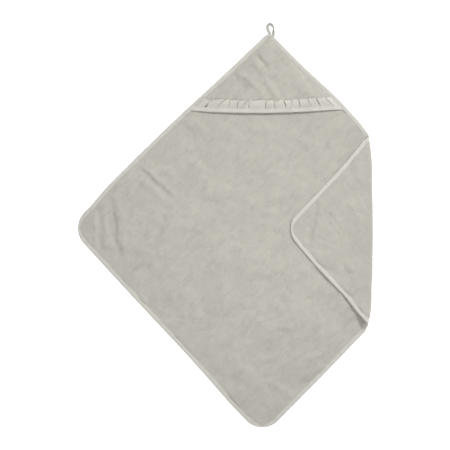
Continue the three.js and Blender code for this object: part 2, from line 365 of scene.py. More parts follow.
def small_creases(count, area, spread, halves, widths, heights):
    """Seeded creases within an area of (x, low y, high y). heights are shares of their widths."""
    made = []
    for _ in range(count):
        x, y = rng.uniform(-area[0], area[0]), rng.uniform(area[1], area[2])
        angle = rng.normal(CREASE_ANGLE, spread)
        reach = np.array([math.cos(angle), math.sin(angle)]) * rng.uniform(*halves)
        width = rng.uniform(*widths)
        height = rng.choice([-1, 1]) * rng.uniform(*heights) * width
        made.append(((x - reach[0], y - reach[1]), (x + reach[0], y + reach[1]), width, height))
    return made


# Short soft creases all over, and longer folds pressed into the cloth, which show from afar.
STROKES = small_creases(260, (400, -560, 520), 0.5, (6, 22), (5, 10), (0.12, 0.24))
STROKES += small_creases(170, (380, -540, 500), 0.7, (18, 50), (8, 14), (0.14, 0.26))


def surface(x, y, creases):
    """The soft unevenness of terry that has been spread out by hand."""
    waves = sum(height * ripples(x, y) for ripples, height in UNEVEN)
    return MM * waves + crease_height(creases, x, y) + crease_height(STROKES, x, y)


# ---- Meshes ----


def make_piece(name, verts, faces, uv, sharp_from=None):
    """A smooth-shaded object. uv is one pair for each vertex; faces from sharp_from on are its flat rim."""
    mesh = bpy.data.meshes.new(name)
    mesh.from_pydata(np.asarray(verts).tolist(), [], [tuple(f) for f in faces])
    mesh.update()
    mesh.polygons.foreach_set("use_smooth", np.ones(len(mesh.polygons), bool))
    layer = mesh.uv_layers.new(name="cloth")
    corners = np.zeros(len(mesh.loops), np.int32)
    mesh.loops.foreach_get("vertex_index", corners)
    layer.data.foreach_set("uv", np.asarray(uv, np.float32)[corners].ravel())
    if sharp_from is not None:
        edges = {tuple(sorted(e)) for f in faces[sharp_from:] for e in zip(f, f[1:] + f[:1])}
        for edge in mesh.edges:
            if tuple(sorted(edge.vertices)) in edges:
                edge.use_edge_sharp = True
    mesh.validate()
    obj = bpy.data.objects.new(name, mesh)
    bpy.context.scene.collection.objects.link(obj)
    return obj


def shell(name, front, back, faces, rim, uv):
    """A closed shell: faces on the front, the same ones reversed on the back, and a rim between them."""
    n = len(front)
    verts = np.vstack([front, back])
    behind = [tuple(n + i for i in reversed(f)) for f in faces]
    around = [(b, a, n + a, n + b) for a, b in rim]
    all_faces = [tuple(f) for f in faces] + behind + around
    return make_piece(name, verts, all_faces, np.vstack([uv, uv]), sharp_from=len(faces) + len(behind))


def open_edges(faces):
    """The directed edges that only one face has."""
    directed = {e for f in faces for e in zip(f, tuple(f[1:]) + (f[0],))}
    return sorted(e for e in directed if (e[1], e[0]) not in directed)


def grid_faces(rows, cols):
    at = np.arange(rows * cols).reshape(rows, cols)
    quads = np.stack([at[:-1, :-1], at[1:, :-1], at[1:, 1:], at[:-1, 1:]], -1)
    return [tuple(int(i) for i in quad) for quad in quads.reshape(-1, 4)]


def cut_at_fold(bm, keep_below):
    """Cuts edges in along the fold, and clears what lies beyond the roll's outermost line."""
    for x in (FOLD_X, EQUATOR, FLAP_X):
        is_cut = bool(x == EQUATOR)
        bmesh.ops.bisect_plane(
            bm,
            geom=bm.verts[:] + bm.edges[:] + bm.faces[:],
            dist=1e-7,
            plane_co=(x, 0, 0),
            plane_no=(1, 0, 0),
            clear_outer=is_cut and keep_below,
            clear_inner=is_cut and not keep_below,
        )


def cut_cloth(cloth, cells, keep_below):
    """A flat grid of the cloth, cut along the fold. Returns places, edge distances and faces."""
    shares = np.linspace(0, 1, cells + 1)
    p, q = np.meshgrid(shares, shares, indexing="ij")
    flat = cloth.place(p, q).reshape(-1, 2)
    distance = cloth.edge_distance(p, q).ravel()
    bm = bmesh.new()
    layer = bm.verts.layers.float.new("distance")
    verts = []
    for (x, y), d in zip(flat, distance):
        vert = bm.verts.new((x, y, 0))
        vert[layer] = d
        verts.append(vert)
    for face in grid_faces(cells + 1, cells + 1):
        bm.faces.new([verts[i] for i in face])
    cut_at_fold(bm, keep_below)
    bm.normal_update()
    up = sum(f.normal.z for f in bm.faces) > 0
    bm.verts.index_update()
    places = np.array([v.co[:2] for v in bm.verts])
    distances = np.array([v[layer] for v in bm.verts])
    faces = [tuple(v.index for v in f.verts) for f in bm.faces]
    bm.free()
    return places, distances, faces if up else [tuple(reversed(f)) for f in faces]


DEEPEST = -1.7 * MM  # how far down a crease can press the terry
HIGHEST = 2.7 * MM  # and how far up, so that the turned corner stays above the floor when it is opened
LOWEST, TAPE_LOWEST = 0.05 * MM, 0.03 * MM  # how near the terry and the tape come to the floor
PILE = 0.2 * MM  # how far loose pile stands over the terry's nominal thickness
FUZZ = 0.10 * MM  # unevenness of the pile from point to point
SQUEEZED = TAPE - 0.8 * MM  # up to here from the edge the terry is as thin as in the binding
HOODED_X = FOLD_X - 0.03  # the hood lies to the left of this


def fullness(distance, over=3 * MM):
    """0 where the binding squeezes the terry, and 1 further in."""
    return step(distance, SQUEEZED, over)


def fullness_under(flat, distance):
    """The same for the towel's own terry, which stays squeezed for longer under the hood's sewn sides."""
    hooded = step(flat[..., 1], hem_low[1] + 5 * MM, 15 * MM) * (flat[..., 0] < HOODED_X)
    return fullness(distance) * (1 - hooded) + fullness(distance, 28 * MM) * hooded


def hood_fullness(distance):
    """The hood's own terry rises slowly from the binding, as it is pulled flat there."""
    return fullness(distance, 15 * MM)


def padding(flat):
    """Extra pile inside the roll, which fills the hollow along its outermost line in the opened corner."""
    return 2.4 * MM * bump(flat[..., 0], EQUATOR, 4.5 * MM)


def terry_half(full):
    return (RIM + (TERRY + PILE - RIM) * full) / 2


def terry_sheet(name, cloth, cells, keep_below, creases):
    """A piece of terry that lies in one layer, and its weights."""
    flat, distance, faces = cut_cloth(cloth, cells, keep_below)
    full = fullness_under(flat, distance) if keep_below else fullness(distance)
    half = terry_half(full)
    before, after = 1 - step(flat[:, 0], FOLD_X - 0.02, 0.02), step(flat[:, 0], FLAP_X, 0.02)
    free = 0.35 + 0.65 * np.maximum(before, after)  # creases are weaker on the roll
    place = lay(flat, np.zeros(len(flat)))
    lift = np.clip(surface(place[:, 0], place[:, 1], creases), DEEPEST, HIGHEST) * full * free
    fuzz = rng.normal(0, FUZZ, (2, len(flat)))
    upward = lift + RIM_LIFT * (1 - full) if keep_below else -lift
    front = lay(flat, half + upward + fuzz[0] * full + padding(flat))
    back = lay(flat, -half + upward + fuzz[1] * full)
    for face_points in (front, back):
        face_points[:, 2] = np.maximum(face_points[:, 2], LOWEST)
    piece = shell(name, front, back, faces, open_edges(faces), flat)
    return piece, np.tile(roll_share(flat, keep_below), 2)


# ---- Baking the pieces in place ----


def follow(piece):
    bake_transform(piece)


def follow_lower(piece):
    follow(piece)


def follow_upper(piece):
    follow(piece)


# ---- Materials ----


class Nodes:
    """A short way to write a material's nodes."""

    def __init__(self, name):
        self.material = bpy.data.materials.new(name)
        self.material.use_nodes = True
        self.tree = self.material.node_tree
        self.shader = self.tree.nodes["Principled BSDF"]

    def add(self, kind, **settings):
        node = self.tree.nodes.new(kind)
        for key, value in settings.items():
            if key.startswith("in_"):
                name = key[3:].replace("_", " ")
                node.inputs[name].default_value = value
            else:
                setattr(node, key, value)
        return node

    def link(self, source, output, target, socket):
        self.tree.links.new(source.outputs[output], target.inputs[socket])
        return target

    def place(self, scale=(1, 1, 1), angle=0.0):
        """Places on the flat cloth in metres, turned by angle and then divided by scale."""
        where = self.add("ShaderNodeTexCoord")
        mapping = self.add("ShaderNodeMapping", vector_type="TEXTURE")
        mapping.inputs["Scale"].default_value = scale
        mapping.inputs["Rotation"].default_value = (0, 0, angle)
        return self.link(where, "UV", mapping, "Vector")

    def noise(self, where, scale, detail=3.0, rough=0.5, twist=0.0):
        node = self.add("ShaderNodeTexNoise", in_Scale=scale, in_Detail=detail, in_Roughness=rough)
        node.inputs["Distortion"].default_value = twist
        return self.link(where, "Vector", node, "Vector")

    def ramp(self, source, output, low, high, between=(0.3, 0.7)):
        """A value from low to high as the source goes between two values."""
        node = self.add("ShaderNodeMapRange")
        node.inputs["From Min"].default_value = between[0]
        node.inputs["From Max"].default_value = between[1]
        node.inputs["To Min"].default_value = low
        node.inputs["To Max"].default_value = high
        return self.link(source, output, node, "Value")

    def multiply(self, a, a_out, b, b_out):
        node = self.add("ShaderNodeMath", operation="MULTIPLY")
        self.tree.links.new(a.outputs[a_out], node.inputs[0])
        self.tree.links.new(b.outputs[b_out], node.inputs[1])
        return node

    def tint(self, colour, factor, factor_out):
        """The colour times a grey factor, into the shader's base colour."""
        node = self.add("ShaderNodeMix", data_type="RGBA", blend_type="MULTIPLY")
        node.inputs["Factor"].default_value = 1.0
        node.inputs[6].default_value = (*colour, 1)
        self.tree.links.new(factor.outputs[factor_out], node.inputs[7])
        self.tree.links.new(node.outputs[2], self.shader.inputs["Base Color"])

    def bump(self, height, output, distance, strength=1.0, before=None):
        node = self.add("ShaderNodeBump", in_Distance=distance, in_Strength=strength)
        self.link(height, output, node, "Height")
        if before is not None:
            self.link(before, "Normal", node, "Normal")
        return self.link(node, "Normal", self.shader, "Normal") and node

    def finish(self, roughness, sheen, sheen_roughness=0.5):
        self.shader.inputs["Roughness"].default_value = roughness
        self.shader.inputs["Sheen Weight"].default_value = sheen
        self.shader.inputs["Sheen Roughness"].default_value = sheen_roughness
        self.shader.inputs["Specular IOR Level"].default_value = 0.25
        return self.material


def terry_material():
    m = Nodes("terry")
    where = m.place()
    brushed_way = m.place((1, 2.3, 1), -0.8)
    patches = m.ramp(m.noise(where, 11, 2), "Fac", 0.965, 1.035)
    mottle = m.ramp(m.noise(brushed_way, 44, 2, 0.5, 1.3), "Fac", 0.96, 1.035)
    streak = m.ramp(m.noise(brushed_way, 80, 2, 0.5, 1.0), "Fac", 1.0, 0.93, (0.55, 0.7))
    loops = m.add("ShaderNodeTexVoronoi", in_Scale=620.0, in_Randomness=0.8)
    m.link(where, "Vector", loops, "Vector")
    # Darker in the hollows between the terry's loops: painted shade there. The same values give the loops'
    # bump.
    hollow_depth_and_shade = m.ramp(loops, "Distance", 1.05, 0.86, (0.0, 0.75))
    both = m.multiply(m.multiply(patches, "Result", mottle, "Result"), "Value", streak, "Result")
    shade = m.multiply(both, "Value", hollow_depth_and_shade, "Result")
    m.tint(TERRY_COLOUR, shade, "Value")
    tufts = m.bump(m.noise(where, 260, 2, 0.6), "Fac", 0.9 * MM, 0.5)
    m.bump(hollow_depth_and_shade, "Result", 0.8 * MM, 0.7, before=tufts)
    return m.finish(0.95, 0.25)


def tape_material(name, colour, rib):
    m = Nodes(name)
    where = m.place()
    weave = m.add("ShaderNodeTexWave", in_Scale=rib, in_Distortion=0.6, in_Detail=1.0)
    m.link(where, "Vector", weave, "Vector")
    worn = m.ramp(m.noise(where, 55, 3), "Fac", 0.96, 1.04)
    rows = m.ramp(weave, "Fac", 0.93, 1.03, (0.0, 1.0))
    m.tint(colour, m.multiply(worn, "Result", rows, "Result"), "Value")
    m.bump(weave, "Fac", 0.2 * MM, 0.5, before=m.bump(m.noise(where, 180, 2), "Fac", 0.5 * MM, 0.4))
    return m.finish(0.88, 0.15)


def muslin_material():
    m = Nodes("frill_muslin")
    where = m.place()
    crinkle = m.noise(m.place((1, 3, 1)), 320, 3, 0.6)
    shade = m.ramp(crinkle, "Fac", 0.96, 1.04)
    patches = m.ramp(m.noise(where, 60), "Fac", 0.97, 1.03)
    m.tint(FRILL_COLOUR, m.multiply(shade, "Result", patches, "Result"), "Value")
    m.bump(crinkle, "Fac", 0.5 * MM, 0.6)
    return m.finish(0.9, 0.15)


def thread_material():
    m = Nodes("sewing_thread")
    twist = m.add("ShaderNodeTexWave", in_Scale=900.0, in_Distortion=0.0)
    twist.bands_direction = "DIAGONAL"
    m.link(m.place(), "Vector", twist, "Vector")
    plies = m.ramp(twist, "Fac", 0.85, 1.05, (0.0, 1.0))
    m.tint(THREAD_COLOUR, plies, "Result")
    m.bump(twist, "Fac", 0.1 * MM, 0.5)
    return m.finish(0.6, 0.1)


TERRY_COLOUR = (0.562, 0.539, 0.484)
TAPE_COLOUR = (0.645, 0.63, 0.575)
# The turned corner's binding is the same tape as the edge binding, painted lighter: a painted highlight for
# the light it catches, raised on the fold.
LIT_TAPE_COLOUR = (0.675, 0.66, 0.61)
LOOP_COLOUR = (0.52, 0.515, 0.47)
HEM_COLOUR = (0.68, 0.66, 0.605)
FRILL_COLOUR = (0.635, 0.617, 0.562)
THREAD_COLOUR = (0.62, 0.60, 0.55)

terry = terry_material()
edge_tape = tape_material("edge_tape", TAPE_COLOUR, 420.0)
# A lighter copy of the edge tape for the turned corner's binding: painted highlight.
painted_lit_tape = tape_material("painted_lit_tape", LIT_TAPE_COLOUR, 420.0)
loop_tape = tape_material("loop_tape", LOOP_COLOUR, 420.0)
hem_tape = tape_material("hem_tape", HEM_COLOUR, 420.0)
muslin = muslin_material()
thread = thread_material()


def finish_piece(piece, material, slot, *nodes):
    piece.data.materials.append(material)
    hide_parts(*nodes)
    return piece


# ---- The terry ----

panel, panel_weights = terry_sheet("terry_panel", towel, 200, True, TOWEL_CREASES)
finish_piece(panel, terry, "terry", "towel_panel", "corner_fold")
follow_lower(panel)

flap, flap_weights = terry_sheet("terry_corner", corner, 150, False, CORNER_CREASES)
finish_piece(flap, terry, "terry", "corner_flap", "corner_fold")
follow_upper(flap)


# ---- Edge binding ----

STITCH = 3.6 * MM  # from one stitch to the next
STITCH_INSET = 8.5 * MM
STITCH_GAP = 0.16  # of a stitch, left free at both of its ends
PER_STITCH = 3  # rings of the tape's mesh for each stitch
DIMPLE = 0.35 * MM  # how far a stitch presses the tape in
WANDER, SWELL = 0.35 * MM, 0.16  # how the tape's inner edge strays, and its thickness varies as a share
TOWEL_RUN, CORNER_RUN = (3.40, 6.62), (3.30, 4.70)  # where the tape begins and ends, in sides of the cloth
HOOD_STACK = RIM + 0.05 * MM  # the hood's own edge is sewn into the binding as well
HEM_STACK = 0.9 * MM  # and so are the ends of the hem tape and the frill


def edge_stack(flat, keep_below):
    """What the hood, its hem tape and its frill add to the towel's edge inside the binding."""
    if not keep_below:
        return 0 * flat[..., 0]
    hood_share = step(flat[..., 1], hem_low[1] - 4 * MM, 14 * MM)
    hem_share = bump(flat[..., 1], hem_low[1] + 24 * MM, 14 * MM)
    return (HOOD_STACK * hood_share + HEM_STACK * hem_share) * (flat[..., 0] < HOODED_X)


# Inset from the edge and height over the cloth, in millimetres, from the front's inner edge out.
TAPE_SECTION = [
    (10.5, 0.15), (9.9, 0.45), (8.5, 0.65), (6.0, 0.85),
    (3.0, 0.90), (1.0, 0.75), (-0.3, 0.35), (-0.9, -0.35),
]
TAPE_LINING = [(-0.2, -0.30), (0.1, 0.05), (6.0, 0.06), (10.5, 0.06)]


def tape_section():
    """The closed section: the outside from front to back, then the lining from back to front."""
    out = [(d, h, 1) for d, h in TAPE_SECTION] + [(-1.0, None, 0)]
    out += [(d, h, -1) for d, h in reversed(TAPE_SECTION)]
    lining = [(d, h, -1) for d, h in reversed(TAPE_LINING)] + [(0.0, None, 0)]
    lining += [(d, h, 1) for d, h in TAPE_LINING]
    return out + lining


def tape_height(d, h, swell, dimple):
    """Height of a point of the section over the cloth. The stitches press the tape's outside in."""
    if (d, h) not in TAPE_SECTION:
        return h * MM
    return h * MM * swell - (dimple if 6 <= d <= 9.9 else 0)


def tape_rings(cloth, run, pucker, keep_below):
    """The binding as rings of (X, Y, height) on the flat cloth, and each vertex's place on the tape."""
    count = int((run[1] - run[0]) * cloth.side / STITCH * PER_STITCH)
    s = np.linspace(*run, count)
    stack = edge_stack(cloth.edge(s, 5 * MM), keep_below)
    wander = WANDER * pucker(s * cloth.side, 0 * s)
    swell = 1 + SWELL * pucker(s * cloth.side, 0 * s + 0.3)
    dimple = DIMPLE * (np.arange(count) % PER_STITCH == 0)
    lift = RIM_LIFT if keep_below else 0.0
    rings, uv, width, before = [], [], 0.0, None
    for d, h, side in tape_section():
        flat = cloth.edge(s, d * MM + (wander if d > 9 else 0))
        off = stack / 2
        if side:
            off = side * (RIM / 2 + tape_height(d, h, swell, dimple))
            off = off + (stack + padding(flat) if side > 0 else 0 * s)
        rings.append(np.concatenate([flat, (off + lift)[:, None]], -1))
        here = np.array([d, (h or 0) * side + side])
        width += 0 if before is None else np.linalg.norm(here - before) * MM
        before = here
        uv.append(np.stack([s * cloth.side, width + 0 * s], -1))
    return np.stack(rings, 1), np.stack(uv, 1)


def tube_faces(count, around, caps):
    faces = []
    for i in range(count - 1):
        for j in range(around):
            k = (j + 1) % around
            faces.append((i * around + j, (i + 1) * around + j, (i + 1) * around + k, i * around + k))
    if caps:
        faces.append(tuple(range(around)))
        faces.append(tuple(reversed(range((count - 1) * around, count * around))))
    return faces


def volume(verts, faces):
    total = 0.0
    for face in faces:
        a = verts[face[0]]
        for i in range(1, len(face) - 1):
            total += np.dot(a, np.cross(verts[face[i]], verts[face[i + 1]]))
    return total / 6


def outward(verts, faces):
    """The faces of a closed mesh, turned round if they face inwards."""
    if volume(verts - verts.mean(0), faces) < 0:
        return [tuple(reversed(f)) for f in faces]
    return faces


def tube(name, rings, uv):
    """A closed tube through rings of vertices."""
    verts = rings.reshape(-1, 3)
    faces = tube_faces(*rings.shape[:2], True)
    return make_piece(name, verts, outward(verts, faces), uv.reshape(-1, 2))


def cut_tube(rings, uv, keep_below):
    """Cuts a tube on the flat cloth along the roll's outermost line. Returns places, uvs and faces."""
    count, around = rings.shape[:2]
    bm = bmesh.new()
    u_layer = bm.verts.layers.float.new("u")
    v_layer = bm.verts.layers.float.new("v")
    verts = []
    for place, (u, v) in zip(rings.reshape(-1, 3), uv.reshape(-1, 2)):
        vert = bm.verts.new(place)
        vert[u_layer] = u
        vert[v_layer] = v
        verts.append(vert)
    for face in tube_faces(count, around, False):
        bm.faces.new([verts[i] for i in face])
    cut_at_fold(bm, keep_below)
    bmesh.ops.holes_fill(bm, edges=[e for e in bm.edges if len(e.link_faces) == 1], sides=0)
    bmesh.ops.recalc_face_normals(bm, faces=bm.faces[:])
    bm.verts.index_update()
    places = np.array([v.co[:] for v in bm.verts])
    uvs = np.array([(v[u_layer], v[v_layer]) for v in bm.verts])
    faces = [tuple(v.index for v in f.verts) for f in bm.faces]
    bm.free()
    return places, uvs, faces


def binding(name, cloth, run, keep_below):
    rings, uv = tape_rings(cloth, run, Ripples(0.022, 24), keep_below)
    flat, uvs, faces = cut_tube(rings, uv, keep_below)
    placed = lay(flat[:, :2], flat[:, 2])
    placed[:, 2] = np.maximum(placed[:, 2], TAPE_LOWEST)
    return make_piece(name, placed, outward(placed, faces), uvs), roll_share(flat[:, :2], keep_below)


towel_binding, weights = binding("towel_binding", towel, TOWEL_RUN, True)
finish_piece(
    towel_binding, edge_tape, "binding",
    "edge_binding_right", "edge_binding_left", "fold_binding_upper", "fold_binding_lower",
)
follow_lower(towel_binding)

corner_binding, weights = binding("corner_binding", corner, CORNER_RUN, False)
finish_piece(
    corner_binding, painted_lit_tape, "binding", "flap_binding", "fold_binding_upper", "fold_binding_lower"
)
follow_upper(corner_binding)


# ---- Stitches ----

CAPSULE = [(0.0, 0.35), (0.15, 0.85), (0.5, 1.0), (0.85, 0.85), (1.0, 0.35)]  # along it, and how thick
AROUND = 6
THREAD = 0.55 * MM
THREAD_LEVEL = 0.62 * MM  # of the edge stitches, over the cloth
SINK = 0.3 * MM  # how far the ends of a stitch go down into the cloth


def seam(spots, gap=STITCH_GAP):
    """The first point, the last and the middle of each stitch between spots along a seam."""
    span = spots[1:] - spots[:-1]
    firsts, lasts = spots[:-1] + span * gap, spots[1:] - span * gap
    return firsts, lasts, (firsts + lasts) / 2


def stitches(starts, ends, heights, thickness, sink):
    """Rows of small round-ended stitches on the flat cloth, as one mesh of places, uvs and faces."""
    places, uvs, faces = [], [], []
    angles = np.arange(AROUND) * 2 * math.pi / AROUND
    for start, end, height in zip(starts, ends, heights):
        base = len(places)
        along = (end - start) / max(np.linalg.norm(end - start), 1e-9)
        aside = np.array([-along[1], along[0]])
        for share, size in CAPSULE:
            centre = start + (end - start) * share
            level = height - sink * (2 * share - 1) ** 2
            for angle in angles:
                at = centre + aside * math.cos(angle) * size * thickness / 2
                places.append((at[0], at[1], level + math.sin(angle) * size * thickness / 2))
                uvs.append((share * STITCH, angle * thickness / 2))
        for face in tube_faces(len(CAPSULE), AROUND, True):
            faces.append(tuple(base + i for i in face))
    return np.array(places), np.array(uvs), faces


def sewn(name, flat, uvs, faces):
    """A piece from stitches on the flat cloth."""
    placed = lay(flat[:, :2], flat[:, 2])
    return make_piece(name, placed, outward(placed, faces), uvs)


def edge_stitches(name, cloth, run, sides, keep_below):
    """The line of stitches through the edge binding, on the faces of the cloth given by sides."""
    count = int((run[1] - run[0]) * cloth.side / STITCH * PER_STITCH)
    spots = cloth.edge(np.linspace(*run, count)[::PER_STITCH], STITCH_INSET)
    firsts, lasts, centres = seam(spots)
    x = centres[:, 0]
    chosen = x < EQUATOR - STITCH if keep_below else x > EQUATOR + STITCH
    firsts, lasts, centres = firsts[chosen], lasts[chosen], centres[chosen]
    stack = edge_stack(centres, keep_below)
    lift = RIM_LIFT if keep_below else 0
    places, uvs, faces = [], [], []
    for side in sides:
        top = side * (RIM / 2 + THREAD_LEVEL) + (stack if side > 0 else 0 * stack) + lift
        more, more_uvs, more_faces = stitches(firsts, lasts, top, THREAD, side * SINK)
        shift = sum(map(len, places))
        faces += [tuple(shift + i for i in face) for face in more_faces]
        places.append(more)
        uvs.append(more_uvs)
    flat = np.vstack(places)
    return sewn(name, flat, np.vstack(uvs), faces), roll_share(flat[:, :2], keep_below)


towel_thread, weights = edge_stitches("towel_stitching", towel, TOWEL_RUN, (1,), True)
finish_piece(towel_thread, thread, "thread", "edge_stitching_right", "edge_stitching_left")
follow_lower(towel_thread)

corner_thread, weights = edge_stitches("corner_stitching", corner, CORNER_RUN, (-1, 1), False)
finish_piece(corner_thread, thread, "thread", "flap_stitching")
follow_upper(corner_thread)


# ---- The hood ----

HEM_Y = hem_low[1] + 13.4 * MM  # where the open side meets the towel's sides
HEM_SAG = 8 * MM
HEM_INSET = 9 * MM  # how far in from the towel's edge the hem tape and the frill end
HOOD_HEIGHT = TIP[1] - HEM_Y
HOOD_GAP = 0.45 * MM


def side_line(s, inset):
    line = towel.edge(s, inset)
    return line[np.argsort(line[:, 1])]


LEFT_SIDE, RIGHT_SIDE = np.linspace(4.004, 4.5, 300), np.linspace(3.5, 3.996, 300)
side_lines = {}


def across(y, inset):
    """The hood's left and right sides at height y, at an inset from the towel's edge."""
    if inset not in side_lines:
        side_lines[inset] = side_line(LEFT_SIDE, inset), side_line(RIGHT_SIDE, inset)
    left, right = side_lines[inset]
    return np.interp(y, left[:, 1], left[:, 0]), np.interp(y, right[:, 1], right[:, 0])


def hood_place(share, up, inset):
    """A place on the hood: share across it from left to right, and up from its open side, in metres."""
    sag = HEM_SAG * np.maximum(1 - up / HOOD_HEIGHT, 0) * np.sin(math.pi * np.clip(share, 0, 1) ** 0.8)
    y = HEM_Y + up - sag + 2 * MM * step(share, 0.6, 0.35)
    left, right = across(y, inset)
    return np.stack([left + share * (right - left), y], -1)


def hood_shares(flat):
    left, right = across(flat[..., 1], STITCH_INSET)
    return np.clip((flat[..., 0] - left) / np.maximum(right - left, 1e-6), 0, 1)


def hood_weights(flat):
    """Weights that are 0 at the hood's sewn sides and 1 midway between them."""
    return np.sin(math.pi * hood_shares(flat)) ** 1.4


def side_distance(flat):
    """From the nearer of the towel's two sides that the hood is sewn into."""
    left, right = across(flat[..., 1], 0.0)
    return np.minimum((flat[..., 0] - left) * 0.694, (right - flat[..., 0]) * 0.702)


def hood_puff(flat, up):
    """How far the hood stands off the towel: its soft middle, and the arch of its open side."""
    soft = 2.2 * step(up, 0, 0.05) * step(HOOD_HEIGHT - up, 0, 0.10)
    open_side = 4 * step(-up, -0.12, 0.10) + 0.6
    return MM * (soft + open_side) * np.sin(math.pi * hood_shares(flat)) ** 0.8


def hood_middle(flat, up):
    """Height of the middle of the hood's cloth, over the middle of the towel's."""
    distance = side_distance(flat)
    full, below = hood_fullness(distance), fullness_under(flat, distance)
    puff = hood_puff(flat, up)
    under = np.maximum(surface(flat[..., 0], flat[..., 1], TOWEL_CREASES), DEEPEST) * below
    under = under + terry_half(below)
    gap = 0.05 * MM + HOOD_GAP * below + puff
    creases = crease_height(HOOD_CREASES, flat[..., 0], flat[..., 1]) * full
    creases = np.maximum(creases, -HOOD_GAP * below - puff)
    return under + gap + terry_half(full) + creases + RIM_LIFT * (1 - below)


def hood_half(flat, up):
    """Half of the hood's thickness, which the hem tape squeezes."""
    return terry_half(hood_fullness(side_distance(flat)) * step(up, 11 * MM, 5 * MM))


def make_hood():
    fine, coarse = np.linspace(0.8 * MM, 0.18, 70), np.linspace(0.18, HOOD_HEIGHT - 13 * MM, 18)
    rows, shares = np.concatenate([fine, coarse[1:]]), np.linspace(0, 1, 141)
    up, share = np.meshgrid(rows, shares, indexing="ij")
    flat = hood_place(share, up, 1.5 * MM).reshape(-1, 2)
    up = up.ravel()
    middle, half = hood_middle(flat, up), hood_half(flat, up)
    fuzz = rng.normal(0, FUZZ, len(flat)) * hood_fullness(side_distance(flat))
    front = lay(flat, middle + half + fuzz)
    back = lay(flat, middle - half)
    faces = [tuple(reversed(f)) for f in grid_faces(len(rows), len(shares))]
    piece = shell("hood", front, back, faces, open_edges(faces), flat)
    return piece, np.tile(hood_weights(flat), 2)


def follow_hood(piece):
    follow(piece)


hood, weights = make_hood()
finish_piece(hood, terry, "terry", "hood_panel")
follow_hood(hood)


# ---- Hem tape ----

# Up from the open side and height over the hood's cloth, in millimetres.
HEM_SECTION = [
    (13.0, 0.75), (12.4, 1.15), (10.5, 1.30), (7.0, 1.45), (3.0, 1.40), (0.8, 1.1), (-0.6, 0.6), (-1.2, 0.0),
]
HEM_BACK = [(-0.6, -0.6), (0.8, -0.95), (6.0, -1.05), (12.0, -0.9), (12.6, -0.5)]
HEM_LINING = [
    (12.6, -0.06), (6.0, -0.06), (0.4, -0.05), (0.1, 0.0),
    (0.4, 0.05), (6.0, 0.06), (9.0, 0.55), (13.0, 0.65),
]
HEM_LENGTH = 0.42
HEM_RINGS = 360


def make_hem_tape(pucker):
    share = np.linspace(0, 1, HEM_RINGS)
    rings, uv, around = [], [], 0.0
    run = share * HEM_LENGTH
    wander, swell = 0.3 * MM * pucker(run, 0 * run), 1 + 0.15 * pucker(run, 0 * run + 0.3)
    section = HEM_SECTION + HEM_BACK + HEM_LINING
    for k, (d, h) in enumerate(section):
        flat = hood_place(share, d * MM + (wander if abs(d - 13) < 0.7 else 0), HEM_INSET)
        height = h * MM * (swell if k < len(HEM_SECTION) else 1)
        off = hood_middle(flat, np.full(HEM_RINGS, d * MM)) + np.sign(h) * RIM / 2 + height
        rings.append(np.concatenate([flat, off[:, None]], -1))
        if k:
            around += math.hypot(d - section[k - 1][0], h - section[k - 1][1]) * MM
        uv.append(np.stack([run, around + 0 * run], -1))
    rings = np.stack(rings, 1)
    placed = lay(rings[..., :2], rings[..., 2])
    piece = tube("hem_tape", placed, np.stack(uv, 1))
    return piece, hood_weights(rings[..., :2]).ravel()


hem, weights = make_hem_tape(Ripples(0.02, 24))
finish_piece(hem, hem_tape, "hem_tape", "hood_hem_binding")
follow_hood(hem)


HEM_SEAM = 11 * MM  # up from the open side to the stitches


def hem_stitches():
    count = int(0.40 / STITCH)
    firsts, lasts, centres = seam(hood_place(np.linspace(0.008, 0.992, count + 1), HEM_SEAM, HEM_INSET))
    top = hood_middle(centres, np.full(count, HEM_SEAM)) + RIM / 2 + 1.3 * MM
    flat, uvs, faces = stitches(firsts, lasts, top, THREAD, SINK)
    return sewn("hem_stitching", flat, uvs, faces), hood_weights(flat[:, :2])


hem_thread, weights = hem_stitches()
finish_piece(hem_thread, thread, "thread", "hem_stitching")
follow_hood(hem_thread)


# ---- Frill ----

# Each pleat: where its fold line is, how far it leans and bows to the right, which way it folds, and how
# wide the groove beside it stays open, in millimetres.
PLEATS = [
    (-66, 7, 0, -1, 3.4), (-53, -7, 3, 1, 3.2), (-35, 2, -6, -1, 3.6), (-9, 3, -4, 1, 0.8),
    (15, -6, 2, -1, 3.6), (43, -4, -2, -1, 2.2), (57, 5, 2, -1, 3.6), (78, -3, -6, -1, 4.0),
    (121, 2, -4, -1, 3.2), (145, 3, -4, -1, 2.2), (168, -2, 4, -1, 3.4), (184, 7, 0, 1, 0.8),
    (209, 4, 2, -1, 1.6), (237, -3, -4, 1, 0.9), (264, 3, 2, -1, 2.6), (297, -2, 1, -1, 1.0),
]
FRILL_LOW, FRILL_HIGH = 9.5 * MM, 33.5 * MM  # up from the open side
FRILL_CLOTH = 0.55 * MM
FRILL_ROWS, FRILL_COLUMN = 16, 3 * MM  # points up the frill, and from one of its columns to the next
FRILL_ENDS = 1.0  # height of its two ends, in millimetres
PLEAT = 3.0 * MM  # how far a pleat folds back
TURN = 0.7 * MM

